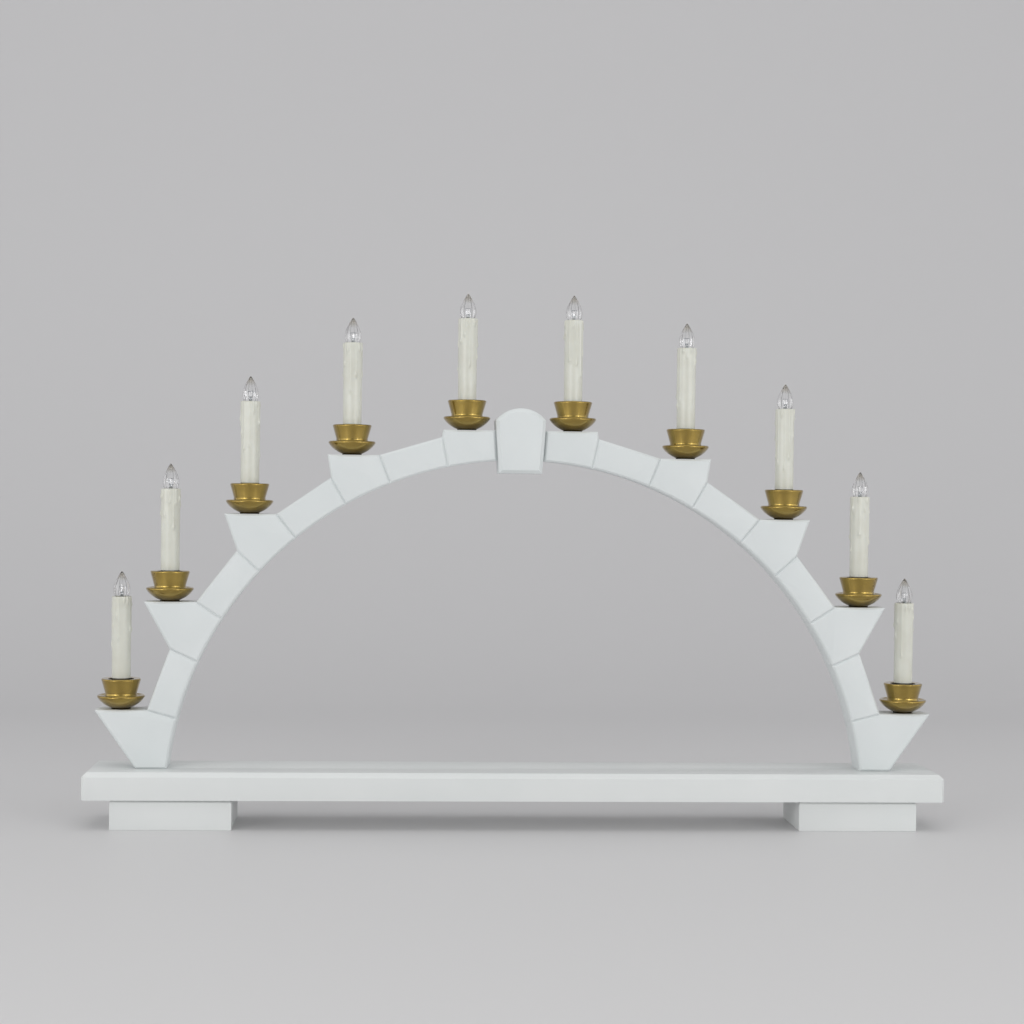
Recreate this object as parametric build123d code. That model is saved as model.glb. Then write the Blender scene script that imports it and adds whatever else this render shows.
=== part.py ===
from build123d import *
import os
from math import asin, atan2, cos, degrees, radians, sin, sqrt, tan

# Electric candle arch: a lacquered wooden plank on two feet carries a round arch of wedge-shaped
# stones, whose shelves hold ten turned drip cups with candle sleeves and screw-in bulbs.
# Millimetres, +Z up, origin on the ground under the middle of the arch, front towards -Y.

# Base plank and the two blocks under it
PLANK_MARGIN = 36.6        # plank beyond the arch's outer edge, each end
PLANK_DEPTH = 68.0
PLANK_THICKNESS = 20.4
PLANK_CHAMFER = 3.5
PLANK_CORNER = 1.8
FOOT_LENGTH = 89.0
FOOT_DEPTH = 60.0
FOOT_HEIGHT = 22.3
FOOT_INSET = 20.0          # from the plank's end
FOOT_CHAMFER = 2.0

# Arch ring and its stones
INNER_RADIUS = 262.25
CENTRE_DROP = 30.0         # centre of the inner circle below the plank's top
RING_WIDTH = 22.75
ARCH_DEPTH = 27.0
CANDLES_PER_SIDE = 5
SPRINGER_ANGLE = 14.9      # top joint of the lowest stone, degrees above the horizontal
BLOCK_ANGLE = 8.0
KEYSTONE_HALF_ANGLE = 3.9
SHELF_LENGTH = 38.4
CANDLE_FROM_TIP = 17.8
STONE_CHAMFER = 1.4

# Keystone
KEYSTONE_DEPTH = 36.0
KEYSTONE_RISE = 16.0       # crown of its round top above the ring
KEYSTONE_SHOULDER = 7.0    # where the round top starts, above the ring
KEYSTONE_DROP = 10.0       # below the inner circle
KEYSTONE_CHAMFER = 2.6
SHADOW_GAP = 1.1
SHADOW_GAP_DEPTH = 2.5

# Turned drip cup, heights above its shelf
CUP_FOOT_DIAMETER = 13.2
CUP_FOOT_HEIGHT = 0.9
BOWL_BASE_DIAMETER = 15.2
PAN_DIAMETER = 35.5
PAN_HEIGHT = 10.2
PAN_RIM = 1.1
PAN_BULGE = 0.9
GROOVE_DEPTH = 0.9         # below the pan's rim
NECK_HEIGHT = 1.9          # where the groove runs out into the cup, above the rim
CUP_BASE_DIAMETER = 23.6
CUP_TOP_DIAMETER = 29.2
CUP_HEIGHT = 23.4
CUP_DOME = 1.0
CUP_MOUTH_DIAMETER = 19.0
CUP_FLOOR = 4.0

# Candle sleeve
SLEEVE_DIAMETER = 14.0
SLEEVE_WALL = 1.0
SLEEVE_HEIGHT = 84.0       # top above the shelf
SLEEVE_EDGE = 0.5
SLEEVE_BASE = 3.0
SPIGOT_DIAMETER = 10.0
SPIGOT_DEPTH = 6.0         # into the stone
SPIGOT_BORE = 7.0

# Lamp holder in the sleeve and the screw-in bulb
CAP_DIAMETER = 9.5
CAP_HEIGHT = 10.0
CAP_SINK = 1.6             # top of the cap below the sleeve's top
TIP_DIAMETER = 3.6
TIP_HEIGHT = 1.0
SHELL_WALL = 0.3
HOLDER_SINK = 1.0          # top of the holder below the sleeve's top
HOLDER_FLOOR = 6.5
LEAF_DIAMETER = 5.0
LEAF_THICKNESS = 0.4
GLASS_HEIGHT = 20.2
GLASS_DIAMETER = 11.7
GLASS_NECK_DIAMETER = 9.2
GLASS_NECK_HEIGHT = 1.4
GLASS_BELLY_HEIGHT = 7.2   # widest place above the cap
GLASS_TIP_DIAMETER = 0.8
GLASS_WALL = 0.7
GLASS_FLUTES = 12
FLAME_STEPS = (0.35, 0.6, 0.8, 1.0)
FLAME_FULLNESS = 1.6

# Series wiring in the rear of the arch
WIRE_DIAMETER = 1.6         # across the corners of its plain six-sided section
WIRE_SIDES = 6
WIRE_OFFSET = 1.2          # half the spacing of a lamp's two wires
LANE_OFFSET = 1.4          # half the spacing of the two wires in the ring
BEND_RADIUS = 5.0
CHANNEL_WIDTH = 6.5
CHANNEL_FLOOR = 1.5        # channel floor in front of the wires' plane
WIRE_HOLE = 7.0
KEYSTONE_HOLE = 7.6
INLET_HOLE = 9.0
INLET_WIDTH = 9.0
INLET_DEPTH = 7.0

# Dowels and screws
DOWEL_DIAMETER = 5.0
DOWEL_LENGTH = 16.0
SCREW_DIAMETER = 4.0
SCREW_LENGTH = 30.0
SCREW_HEAD_DIAMETER = 8.0
SCREW_HEAD_HEIGHT = 2.6
SCREW_POINT = 4.0
FOOT_SCREW_SINK = 6.0
FOOT_SCREW_SPACING = 36.0
ARCH_SCREW_SPACING = 12.0

# Clearances, each on the radius or on one side
GLUE_FIT = 0.05
PUSH_FIT = 0.1
THREAD_FIT = 0.08

# Values worked out from the sizes above
plank_top = FOOT_HEIGHT + PLANK_THICKNESS
centre_z = plank_top - CENTRE_DROP
outer_radius = INNER_RADIUS + RING_WIDTH
channel_radius = INNER_RADIUS + RING_WIDTH / 2
springer_inner = sqrt(INNER_RADIUS**2 - CENTRE_DROP**2)
springer_outer = sqrt(outer_radius**2 - CENTRE_DROP**2)
half_plank = springer_outer + PLANK_MARGIN
foot_centre = half_plank - FOOT_INSET - FOOT_LENGTH / 2
links_per_side = CANDLES_PER_SIDE - 1
crown_angle = 90 - KEYSTONE_HALF_ANGLE
link_angle = (crown_angle - SPRINGER_ANGLE) / links_per_side - BLOCK_ANGLE
dowel_y = -(ARCH_DEPTH / 2 + CHANNEL_FLOOR) / 2
plank_middle_angle = asin((FOOT_HEIGHT + PLANK_THICKNESS / 2 - centre_z) / channel_radius)
inlet_x = channel_radius * cos(plank_middle_angle)
sleeve_bore = SLEEVE_DIAMETER / 2 - SLEEVE_WALL
cap_top = SLEEVE_HEIGHT - CAP_SINK
cap_bottom = cap_top - CAP_HEIGHT
tip_bottom = cap_bottom - TIP_HEIGHT
leaf_bottom = tip_bottom - LEAF_THICKNESS
holder_top = SLEEVE_HEIGHT - HOLDER_SINK
holder_bottom = leaf_bottom - HOLDER_FLOOR
shell_bore = CAP_DIAMETER / 2 + THREAD_FIT
shell_radius = shell_bore + SHELL_WALL


def ring_point(radius, angle):
    """A point (x, z) of the right half at an angle above the horizontal through the arch's centre."""
    return (radius * cos(radians(angle)), centre_z + radius * sin(radians(angle)))


def block_angles(place):
    """Lower and upper joint of the candle block at a place, counted from 0 at the springing."""
    upper = SPRINGER_ANGLE + place * (link_angle + BLOCK_ANGLE)
    return (upper - BLOCK_ANGLE, upper)


def shelf_height(place):
    return ring_point(outer_radius, block_angles(place)[1])[1]


def candle_x(place):
    shelf_end = ring_point(outer_radius, block_angles(place)[1])[0]
    return shelf_end + SHELF_LENGTH - CANDLE_FROM_TIP


def wire_turn(place):
    """Where a candle's wires turn from its axis towards the arch's centre: x, z and the angle there."""
    x = candle_x(place)
    spigot_end = shelf_height(place) - SPIGOT_DEPTH
    steepness = atan2(spigot_end - centre_z, x)
    z = spigot_end - BEND_RADIUS * tan((radians(90) - steepness) / 2)
    return (x, z, degrees(atan2(z - centre_z, x)))


def mirrored(solid):
    return mirror(solid, about=Plane.YZ)


def turned(profile):
    """A solid of revolution about +Z from a closed list of edges in (radius, height)."""
    return revolve(Plane.XZ * make_face(profile), Axis.Z)


def turned_steps(points):
    """A solid of revolution from the corners (radius, height) of its section."""
    return turned(Polyline(*points, close=True).edges())


def sawn(outline, depth):
    """A piece of the given depth, sawn square to its front outline of edges in (x, z)."""
    return extrude(Plane.XZ * make_face(outline), depth / 2, both=True)


def sawn_stone(outline, depth, chamfer_size):
    """A sawn piece with the outlines of its front and rear face chamfered."""
    stone = sawn(outline, depth)
    faces = stone.faces().sort_by(Axis.Y)
    return chamfer(faces[0].edges() + faces[-1].edges(), chamfer_size)


def joint_dowel(angle, growth=0.0):
    """The dowel across the joint at an angle, or its hole when grown by a clearance."""
    x, z = ring_point(channel_radius, angle)
    across = (-sin(radians(angle)), 0, cos(radians(angle)))
    place = Plane(origin=(x, dowel_y, z), z_dir=across)
    return place * Cylinder(DOWEL_DIAMETER / 2 + growth, DOWEL_LENGTH + 2 * growth)


def wood_screw(x, y, z, growth=0.0):
    """A countersunk screw pointing up, its head's flat at z, or its hole when grown by a clearance."""
    shank = SCREW_DIAMETER / 2 + growth
    head = SCREW_HEAD_DIAMETER / 2 + growth
    top = SCREW_LENGTH + growth
    corners = [(0, 0), (head, 0), (shank, SCREW_HEAD_HEIGHT), (shank, top - SCREW_POINT), (0, top)]
    return Pos(x, y, z) * turned_steps(corners)


def channel_ring():
    """The round channel for the wires, open at the rear of the stones."""
    section = Circle(channel_radius + CHANNEL_WIDTH / 2) - Circle(channel_radius - CHANNEL_WIDTH / 2)
    return Pos(0, -CHANNEL_FLOOR, centre_z) * Rot(-90, 0, 0) * extrude(section, ARCH_DEPTH)


def candle_hole(place):
    """Bore for a sleeve's spigot and the bent hole that leads its wires to the channel."""
    x, z, angle = wire_turn(place)
    shelf = shelf_height(place)
    seat = Pos(x, 0, shelf - SPIGOT_DEPTH / 2) * Cylinder(SPIGOT_DIAMETER / 2 + GLUE_FIT, SPIGOT_DEPTH)
    down = Pos(x, 0, (shelf + z) / 2) * Cylinder(WIRE_HOLE / 2, shelf - z)
    reach = sqrt(x**2 + (z - centre_z) ** 2) - channel_radius
    inwards = Plane(origin=(x, 0, z), z_dir=(-cos(radians(angle)), 0, -sin(radians(angle))))
    towards = inwards * Cylinder(WIRE_HOLE / 2, reach, align=(Align.CENTER, Align.CENTER, Align.MIN))
    return seat + down + Pos(x, 0, z) * Sphere(WIRE_HOLE / 2) + towards


def arch_screw_places():
    return [(inlet_x - ARCH_SCREW_SPACING / 2, dowel_y), (inlet_x + ARCH_SCREW_SPACING / 2, dowel_y)]


def candle_block(place):
    """A stone with a candle shelf, on the right half. Place 0 stands on the plank."""
    lower, upper = block_angles(place)
    if place == 0:
        inner_low = (springer_inner, plank_top)
        outer_low = (springer_outer, plank_top)
        lower = degrees(asin(CENTRE_DROP / INNER_RADIUS))
    else:
        inner_low = ring_point(INNER_RADIUS, lower)
        outer_low = ring_point(outer_radius, lower)
    shelf_end = ring_point(outer_radius, upper)
    tip = (shelf_end[0] + SHELF_LENGTH, shelf_end[1])
    inner_high = ring_point(INNER_RADIUS, upper)
    inner_middle = ring_point(INNER_RADIUS, (lower + upper) / 2)
    straight = Polyline(inner_low, outer_low, tip, shelf_end, inner_high)
    hollow = ThreePointArc(inner_high, inner_middle, inner_low)
    block = sawn_stone(straight.edges() + hollow.edges(), ARCH_DEPTH, STONE_CHAMFER)
    block -= channel_ring()
    block -= candle_hole(place)
    block -= joint_dowel(upper, GLUE_FIT)
    if place == 0:
        for x, y in arch_screw_places():
            block -= wood_screw(x, y, FOOT_HEIGHT, GLUE_FIT)
    else:
        block -= joint_dowel(lower, GLUE_FIT)
    return block


def arch_link(place):
    """A plain stone above the block at a place: hollow below, straight above."""
    lower = block_angles(place)[1]
    upper = lower + link_angle
    inner_low = ring_point(INNER_RADIUS, lower)
    inner_high = ring_point(INNER_RADIUS, upper)
    inner_middle = ring_point(INNER_RADIUS, (lower + upper) / 2)
    outer_low = ring_point(outer_radius, lower)
    outer_high = ring_point(outer_radius, upper)
    straight = Polyline(inner_low, outer_low, outer_high, inner_high)
    hollow = ThreePointArc(inner_high, inner_middle, inner_low)
    link = sawn_stone(straight.edges() + hollow.edges(), ARCH_DEPTH, STONE_CHAMFER)
    return link - channel_ring() - joint_dowel(lower, GLUE_FIT) - joint_dowel(upper, GLUE_FIT)


def keystone():
    """The proud wedge at the crown. Its core fills the ring, its faces leave a shadow gap each side."""
    slope = tan(radians(KEYSTONE_HALF_ANGLE))
    crown = centre_z + outer_radius
    low = centre_z + INNER_RADIUS - KEYSTONE_DROP
    shoulder = crown + KEYSTONE_SHOULDER
    half_low = (low - centre_z) * slope - SHADOW_GAP
    half_shoulder = (shoulder - centre_z) * slope - SHADOW_GAP
    left_shoulder = (-half_shoulder, shoulder)
    right_shoulder = (half_shoulder, shoulder)
    sides = Polyline(right_shoulder, (half_low, low), (-half_low, low), left_shoulder)
    top = ThreePointArc(left_shoulder, (0, crown + KEYSTONE_RISE), right_shoulder)
    stone = sawn_stone(sides.edges() + top.edges(), KEYSTONE_DEPTH, KEYSTONE_CHAMFER)
    core_x, core_low = ring_point(INNER_RADIUS, crown_angle)
    core_width, core_high = ring_point(outer_radius, crown_angle)
    corners = [(core_x, core_low), (core_width, core_high), (-core_width, core_high), (-core_x, core_low)]
    stone += sawn(Polyline(*corners, close=True).edges(), ARCH_DEPTH - 2 * SHADOW_GAP_DEPTH)
    sag = channel_radius - sqrt(channel_radius**2 - core_width**2)
    hole_middle = Pos(0, 0, centre_z + channel_radius - sag / 2)
    hole = hole_middle * Rot(0, 90, 0) * Cylinder(KEYSTONE_HOLE / 2, 2 * (core_width + SHADOW_GAP))
    dowel_hole = joint_dowel(crown_angle, GLUE_FIT)
    return stone - hole - dowel_hole - mirrored(dowel_hole)


def base_plank():
    """The plank, chamfered along its top, with the cord's way in at its right rear."""
    middle = FOOT_HEIGHT + PLANK_THICKNESS / 2
    plank = Pos(0, 0, middle) * Box(2 * half_plank, PLANK_DEPTH, PLANK_THICKNESS)
    plank = chamfer(plank.faces().sort_by(Axis.Z)[-1].edges(), PLANK_CHAMFER)
    plank = chamfer(plank.edges().filter_by(Axis.Z), PLANK_CORNER)
    plank -= Pos(inlet_x, 0, middle) * Cylinder(INLET_HOLE / 2, PLANK_THICKNESS)
    slot_middle = Pos(inlet_x, PLANK_DEPTH / 4, FOOT_HEIGHT + INLET_DEPTH / 2)
    plank -= slot_middle * Box(INLET_WIDTH, PLANK_DEPTH / 2, INLET_DEPTH)
    for x, y, z in screw_places():
        plank -= wood_screw(x, y, z, GLUE_FIT)
    return plank


def foot_screw_places():
    return [(foot_centre, y) for y in (-FOOT_SCREW_SPACING / 2, FOOT_SCREW_SPACING / 2)]


def screw_places():
    """Every screw's x, y and its head's height: through the plank into the arch, and through the feet."""
    places = []
    for side in (-1, 1):
        places += [(side * x, y, FOOT_HEIGHT) for x, y in arch_screw_places()]
        places += [(side * x, y, FOOT_SCREW_SINK) for x, y in foot_screw_places()]
    return places


def foot():
    """The block under the right end of the plank, screwed on from below through two counterbores."""
    block = Pos(foot_centre, 0, FOOT_HEIGHT / 2) * Box(FOOT_LENGTH, FOOT_DEPTH, FOOT_HEIGHT)
    block = chamfer(block.faces().sort_by(Axis.Z)[-1].edges(), FOOT_CHAMFER)
    for x, y in foot_screw_places():
        counterbore = Cylinder(SCREW_HEAD_DIAMETER / 2 + GLUE_FIT, FOOT_SCREW_SINK)
        block -= Pos(x, y, FOOT_SCREW_SINK / 2) * counterbore
        block -= wood_screw(x, y, FOOT_SCREW_SINK, GLUE_FIT)
    return block


def drip_cup():
    """Drip pan and candle cup turned from one bar, with a hollow groove between them."""
    hole = SPIGOT_DIAMETER / 2 + PUSH_FIT
    foot_radius = CUP_FOOT_DIAMETER / 2
    base = BOWL_BASE_DIAMETER / 2
    pan = PAN_DIAMETER / 2
    neck = CUP_BASE_DIAMETER / 2
    mouth = CUP_MOUTH_DIAMETER / 2
    rim_low = PAN_HEIGHT - PAN_RIM
    rim_inner = pan - PAN_RIM
    neck_top = PAN_HEIGHT + NECK_HEIGHT
    shoulder = CUP_HEIGHT - CUP_DOME
    bowl_middle = ((base + pan) / 2 + PAN_BULGE / 2, (CUP_FOOT_HEIGHT + rim_low) / 2 - PAN_BULGE)
    groove_middle = ((rim_inner + neck) / 2, PAN_HEIGHT - GROOVE_DEPTH)
    below = Polyline((hole, 0), (foot_radius, 0), (foot_radius, CUP_FOOT_HEIGHT), (base, CUP_FOOT_HEIGHT))
    bowl = ThreePointArc((base, CUP_FOOT_HEIGHT), bowl_middle, (pan, rim_low))
    rim = Polyline((pan, rim_low), (pan, PAN_HEIGHT), (rim_inner, PAN_HEIGHT))
    groove = ThreePointArc((rim_inner, PAN_HEIGHT), groove_middle, (neck, neck_top))
    cup = Polyline(
        (neck, neck_top),
        (CUP_TOP_DIAMETER / 2, shoulder),
        (mouth, CUP_HEIGHT),
        (mouth, CUP_FLOOR),
        (hole, CUP_FLOOR),
        (hole, 0),
    )
    return turned(below.edges() + bowl.edges() + rim.edges() + groove.edges() + cup.edges())


def candle_sleeve():
    """The hollow candle, standing on the cup's floor, with a spigot that goes through it into the stone."""
    radius = SLEEVE_DIAMETER / 2
    spigot = SPIGOT_DIAMETER / 2
    wire_way = SPIGOT_BORE / 2
    inner_floor = CUP_FLOOR + SLEEVE_BASE
    return turned_steps([
        (wire_way, -SPIGOT_DEPTH),
        (spigot, -SPIGOT_DEPTH),
        (spigot, CUP_FLOOR),
        (radius, CUP_FLOOR),
        (radius, SLEEVE_HEIGHT - SLEEVE_EDGE),
        (radius - SLEEVE_EDGE, SLEEVE_HEIGHT),
        (sleeve_bore, SLEEVE_HEIGHT),
        (sleeve_bore, inner_floor),
        (wire_way, inner_floor),
    ])


def holder_body():
    """The insulating lamp holder, glued into the top of the sleeve."""
    radius = sleeve_bore - GLUE_FIT
    bore = shell_radius + GLUE_FIT
    leaf_room = LEAF_DIAMETER / 2 + GLUE_FIT
    corners = [(0, holder_bottom), (radius, holder_bottom), (radius, holder_top), (bore, holder_top)]
    corners += [(bore, cap_bottom), (leaf_room, cap_bottom), (leaf_room, leaf_bottom), (0, leaf_bottom)]
    return turned_steps(corners)


def screw_shell():
    """The brass sleeve that takes the bulb's thread."""
    corners = [(shell_bore, cap_bottom), (shell_radius, cap_bottom)]
    corners += [(shell_radius, holder_top), (shell_bore, holder_top)]
    return turned_steps(corners)


def contact_leaf():
    """The brass disc under the bulb's tip."""
    return Pos(0, 0, leaf_bottom + LEAF_THICKNESS / 2) * Cylinder(LEAF_DIAMETER / 2, LEAF_THICKNESS)


def bulb_cap():
    """The bulb's metal screw cap."""
    return Pos(0, 0, cap_bottom + CAP_HEIGHT / 2) * Cylinder(CAP_DIAMETER / 2, CAP_HEIGHT)


def bulb_tip():
    """The solder tip under the cap, which meets the holder's contact leaf."""
    wide = TIP_DIAMETER / 2
    return turned_steps([(0, tip_bottom), (wide / 2, tip_bottom), (wide, cap_bottom), (0, cap_bottom)])


def fluted(sections):
    """A flat-sided solid through sections, each a diameter across the flats and a height."""
    solid = Part()
    for (low_width, low), (high_width, high) in zip(sections, sections[1:]):
        taper = degrees(atan2((low_width - high_width) / 2, high - low))
        outline = RegularPolygon(low_width / 2, GLASS_FLUTES, major_radius=False)
        solid += Pos(0, 0, low) * extrude(outline, high - low, taper=taper)
    return solid


def bulb_glass():
    """The clear flame-shaped bulb with flat flutes, open at the neck, solid at its drawn tip."""
    belly = GLASS_DIAMETER - GLASS_TIP_DIAMETER
    sections = [
        (GLASS_NECK_DIAMETER, 0.0),
        (GLASS_NECK_DIAMETER, GLASS_NECK_HEIGHT),
        (GLASS_DIAMETER - GLASS_WALL, 2 * GLASS_NECK_HEIGHT),
        (GLASS_DIAMETER, GLASS_BELLY_HEIGHT),
    ]
    taper_height = GLASS_HEIGHT - GLASS_BELLY_HEIGHT
    for share in FLAME_STEPS:
        width = GLASS_TIP_DIAMETER + belly * (1 - share**FLAME_FULLNESS)
        sections.append((width, GLASS_BELLY_HEIGHT + taper_height * share))
    outer = [(width, cap_top + z) for width, z in sections]
    inner = [(width - 2 * GLASS_WALL, z) for width, z in outer[:-2]]
    return fluted(outer) - fluted(inner)


def branch(place, side, lane, along):
    """Wire edges (x, z) from a holder down its sleeve and inwards to a lane of the ring.

    side is 1 for the wire nearer to the keystone and -1 for the other; along is 1 where the wire
    then climbs the ring and -1 where it goes down. Returns the edges and the end's angle.
    """
    x, z, angle = wire_turn(place)
    out = Vector(cos(radians(angle)), sin(radians(angle)))
    up_ring = Vector(-out.Y, out.X)
    centre = Vector(0, centre_z)
    corner = Vector(x, z) + (up_ring - out * ((1 - out.Y) / out.X)) * (side * WIRE_OFFSET)
    tangent = BEND_RADIUS * tan(radians(90 - angle) / 2)
    start = Vector(x - side * WIRE_OFFSET, shelf_height(place) + holder_bottom)
    bend_start = corner + Vector(0, tangent)
    bend_end = corner - out * tangent
    sideways = side * WIRE_OFFSET + along * BEND_RADIUS
    reach = lane + BEND_RADIUS
    turn_centre = centre + up_ring * sideways + out * sqrt(reach**2 - sideways**2)
    turn_start = turn_centre - up_ring * (along * BEND_RADIUS)
    turn_end = centre + (turn_centre - centre) * (lane / reach)
    edges = Line(start, bend_start).edges()
    edges += TangentArc(bend_start, bend_end, tangent=(0, -1)).edges()
    edges += Line(bend_end, turn_start).edges()
    edges += TangentArc(turn_start, turn_end, tangent=out * -1).edges()
    return edges, degrees(atan2(turn_end.Y - centre_z, turn_end.X))


def lane_arc(lane, first, last):
    """The part of a lane of the ring between two angles."""
    ends = [ring_point(lane, angle) for angle in (first, (first + last) / 2, last)]
    return ThreePointArc(*ends).edges()


def reflected(edges):
    """Wire edges turned over to the left half."""
    return [edge.mirror(Plane.YZ) for edge in edges]


def wire(edges):
    """An insulated wire along edges in (x, z), in the middle plane of the arch."""
    path = Plane.XZ * Wire(edges)
    start = Plane(origin=path @ 0, z_dir=path % 0)
    return sweep(start * RegularPolygon(WIRE_DIAMETER / 2, WIRE_SIDES), path=path)


def lamp_wires():
    """The series circuit: a wire from each lamp to the next, and the two leads to the cord's way in."""
    outer_lane = channel_radius + LANE_OFFSET
    inner_lane = channel_radius - LANE_OFFSET
    wires = []
    for place in range(links_per_side):
        low, first = branch(place, 1, outer_lane, 1)
        high, last = branch(place + 1, -1, outer_lane, -1)
        step = wire(low + lane_arc(outer_lane, first, last) + high)
        wires += [step, mirrored(step)]
    crown, first = branch(CANDLES_PER_SIDE - 1, 1, outer_lane, 1)
    wires.append(wire(crown + lane_arc(outer_lane, first, 180 - first) + reflected(crown)))
    lead_end = FOOT_HEIGHT + INLET_DEPTH
    near, first = branch(0, -1, outer_lane, -1)
    last = degrees(asin((lead_end - centre_z) / outer_lane))
    wires.append(wire(near + lane_arc(outer_lane, first, last)))
    far, first = branch(0, -1, inner_lane, 1)
    last = degrees(asin((lead_end - centre_z) / inner_lane))
    wires.append(wire(reflected(far) + lane_arc(inner_lane, 180 - first, last)))
    return wires


def save(name, *solids):
    """Writes a node: one solid, or several separate ones of a kind."""
    shape = solids[0] if len(solids) == 1 else Compound(children=list(solids))
    export_step(shape, f"parts/{name}.step")


os.makedirs("parts", exist_ok=True)

save("base_plank", base_plank())
right_foot = foot()
save("foot_right", right_foot)
save("foot_left", mirrored(right_foot))
save("keystone", keystone())

last_block = 2 * CANDLES_PER_SIDE
last_link = 2 * links_per_side
for place in range(CANDLES_PER_SIDE):
    stone = candle_block(place)
    save(f"candle_block_{last_block - place:02d}", stone)
    save(f"candle_block_{place + 1:02d}", mirrored(stone))
for place in range(links_per_side):
    stone = arch_link(place)
    save(f"arch_link_{last_link - place:02d}", stone)
    save(f"arch_link_{place + 1:02d}", mirrored(stone))

seats = []
for place in range(CANDLES_PER_SIDE):
    seats.append(Pos(-candle_x(place), 0, shelf_height(place)))
for place in reversed(range(CANDLES_PER_SIDE)):
    seats.append(Pos(candle_x(place), 0, shelf_height(place)))

tip = bulb_tip()
cap = bulb_cap()
glass = bulb_glass()
for number, seat in enumerate(seats, start=1):
    save(f"bulb_tip_{number:02d}", seat * tip)
    save(f"bulb_cap_{number:02d}", seat * cap)
    save(f"bulb_glass_{number:02d}", seat * glass)

cup = drip_cup()
sleeve = candle_sleeve()
body = holder_body()
shell = screw_shell()
leaf = contact_leaf()
save("drip_cups", *[seat * cup for seat in seats])
save("candle_sleeves", *[seat * sleeve for seat in seats])
save("lamp_holders", *[seat * body for seat in seats])
save("lamp_contacts", *[seat * piece for seat in seats for piece in (shell, leaf)])
save("lamp_wires", *lamp_wires())

joint_angles = [crown_angle]
for place in range(links_per_side):
    joint_angles += [block_angles(place)[1], block_angles(place + 1)[0]]
dowels = [joint_dowel(angle) for angle in joint_angles]
save("joint_dowels", *dowels, *[mirrored(dowel) for dowel in dowels])
save("wood_screws", *[wood_screw(x, y, z) for x, y, z in screw_places()])
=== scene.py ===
import math
import random

import bmesh
import bpy
from mathutils import Matrix, Vector


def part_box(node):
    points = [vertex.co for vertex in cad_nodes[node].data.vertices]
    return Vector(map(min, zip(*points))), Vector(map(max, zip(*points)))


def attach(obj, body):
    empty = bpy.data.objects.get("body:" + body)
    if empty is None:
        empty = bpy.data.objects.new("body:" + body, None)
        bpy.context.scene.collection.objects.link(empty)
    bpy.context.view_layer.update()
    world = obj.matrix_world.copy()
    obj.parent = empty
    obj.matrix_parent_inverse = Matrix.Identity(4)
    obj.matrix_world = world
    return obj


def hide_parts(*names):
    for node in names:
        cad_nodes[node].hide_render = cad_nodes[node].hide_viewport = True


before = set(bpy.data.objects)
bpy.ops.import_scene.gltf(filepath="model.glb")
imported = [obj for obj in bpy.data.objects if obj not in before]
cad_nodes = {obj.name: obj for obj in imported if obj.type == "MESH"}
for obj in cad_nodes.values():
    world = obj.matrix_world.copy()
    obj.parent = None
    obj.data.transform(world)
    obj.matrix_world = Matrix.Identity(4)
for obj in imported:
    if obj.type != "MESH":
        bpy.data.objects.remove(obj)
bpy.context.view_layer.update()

# Feet and base plank. Planed softwood boards with chamfered edges, screwed together from below.
# They are sprayed with white satin lacquer, which rounds each edge a little, fills most of the grain
# and dries with a faint orange peel.
MM = 0.001
WELD = 0.004 * MM                     # corners of a CAD mesh that lie closer than this are one
FLAT = math.radians(0.3)              # faces that turn by less than this lie in one plane
LACQUER_EDGE = 0.4 * MM
LACQUER_EDGE_FROM = math.radians(25)  # flatter edges stay as they are
PEEL_SIZE = 1.8 * MM                  # real orange peel is about 0.8 mm, drawn coarser so that it shows
PEEL_DEPTH = 0.1 * MM
GRAIN_WIDTH = 2.6 * MM
GRAIN_LENGTH = 85 * MM
GRAIN_SHARE = 0.5                     # height of the grain beside that of the peel
COAT_PATCH = 60 * MM                  # how far the coat's thickness takes to change
BOARD_THIN_COAT = "d9dcdb"
BOARD_THICK_COAT = "dee0df"


def linear(code):
    """An sRGB hex colour as linear red, green, blue and alpha."""
    shares = [int(code[i:i + 2], 16) / 255 for i in (0, 2, 4)]
    return [s / 12.92 if s <= 0.04045 else ((s + 0.055) / 1.055) ** 2.4 for s in shares] + [1.0]


def add(tree, kind, sockets=None, **settings):
    """Adds a node. A socket given an output is linked to it, and any other value is set on the socket."""
    node = tree.nodes.new(kind)
    for name, value in settings.items():
        setattr(node, name, value)
    for name, value in (sockets or {}).items():
        if isinstance(value, bpy.types.NodeSocket):
            tree.links.new(value, node.inputs[name])
        else:
            node.inputs[name].default_value = value
    return node


def start_material(name):
    """A new material with an empty node tree, and that tree."""
    material = bpy.data.materials.new(name)
    material.use_nodes = True
    material.node_tree.nodes.clear()
    return material, material.node_tree


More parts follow.
